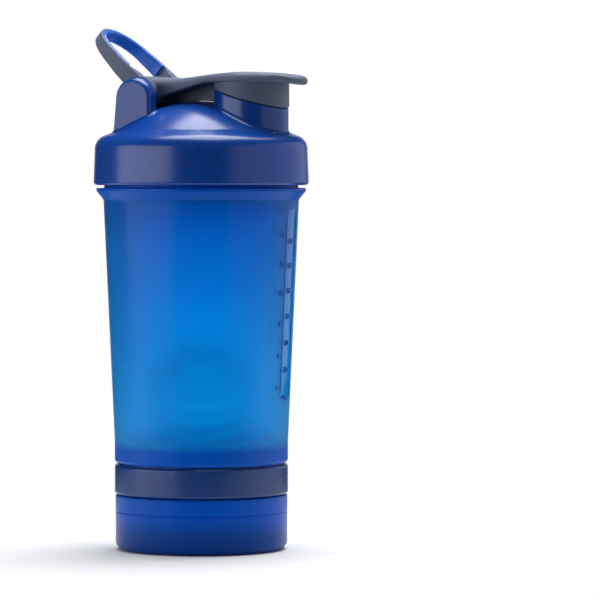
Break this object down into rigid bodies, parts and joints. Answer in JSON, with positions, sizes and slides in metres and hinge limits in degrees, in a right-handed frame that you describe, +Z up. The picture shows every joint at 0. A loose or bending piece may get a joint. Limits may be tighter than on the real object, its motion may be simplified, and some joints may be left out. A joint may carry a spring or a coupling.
{
  "type": "protein shaker bottle",
  "caption": "Shaker bottle with a translucent tapered cup, a screw lid with flip cap and carry loop, a wire whisk ball, and a twist-on storage jar with a divided tray.",
  "frame": {"origin": "middle of the face that the jar stands on", "axes": "+Z up along the bottle's axis, +X from the hinge to the drinking spout, Y along the hinge axis"},
  "size_m": [0.0977, 0.0924, 0.2241],
  "materials": {
    "jar_blue": "translucent satin polypropylene",
    "tray_frost": "frosted natural polypropylene",
    "seal_silicone": "soft silicone",
    "ring_navy": "moulded satin polypropylene",
    "cup_blue": "translucent moulded polypropylene",
    "whisk_steel": "drawn stainless wire",
    "lid_navy": "moulded satin polypropylene",
    "pin_plastic": "moulded acetal",
    "cap_slate": "moulded satin plastic",
    "plug_grey": "soft moulded elastomer",
    "liner_blue": "soft-touch overmould"
  },
  "bodies": {
    "jar": {"jar": "jar_blue"},
    "pill_tray": {"pill_tray": "tray_frost"},
    "base_seal": {"base_seal": "seal_silicone"},
    "cup": {"cup": "cup_blue", "locking_ring": "ring_navy"},
    "whisk_ball": {"whisk_ball": "whisk_steel"},
    "lid_seal": {"lid_seal": "seal_silicone"},
    "lid": {"lid": "lid_navy", "hinge_pin": "pin_plastic"},
    "flip_cap": {"flip_cap": "cap_slate", "spout_plug": "plug_grey"},
    "carry_loop": {"carry_loop": "cap_slate", "loop_liner": "liner_blue"}
  },
  "joints": [
    {"name": "tray_lift", "type": "slide", "parent": "jar", "child": "pill_tray", "axis": [0, 0, 1], "range_m": [0, 0.0155]},
    {"name": "base_lift", "type": "slide", "parent": "jar", "child": "base_seal", "axis": [0, 0, 1], "range_m": [0, 0.06]},
    {"name": "base_turn", "type": "hinge", "parent": "base_seal", "child": "cup", "pos_m": [0, 0, 0.031], "axis": [0, 0, 1], "range_deg": [0, 120]},
    {"name": "ball_rise", "type": "slide", "parent": "cup", "child": "whisk_ball", "axis": [0, 0, 1], "range_m": [0, 0.095]},
    {"name": "lid_rise", "type": "slide", "parent": "cup", "child": "lid_seal", "axis": [0, 0, 1], "range_m": [0, 0.018]},
    {"name": "lid_turn", "type": "hinge", "parent": "lid_seal", "child": "lid", "pos_m": [0, 0, 0.165], "axis": [0, 0, 1], "range_deg": [0, 540]},
    {"name": "cap_flip", "type": "hinge", "parent": "lid", "child": "flip_cap", "pos_m": [-0.0207, 0, 0.19633], "axis": [0, -1, 0], "range_deg": [0, 90]},
    {"name": "loop_swing", "type": "hinge", "parent": "lid", "child": "carry_loop", "pos_m": [-0.0207, 0, 0.19633], "axis": [0, -1, 0], "range_deg": [0, 70]}
  ],
  "couplings": [
    {"joint": "lid_rise", "follows": "lid_turn", "m_per_rad": 0.0019098}
  ]
}
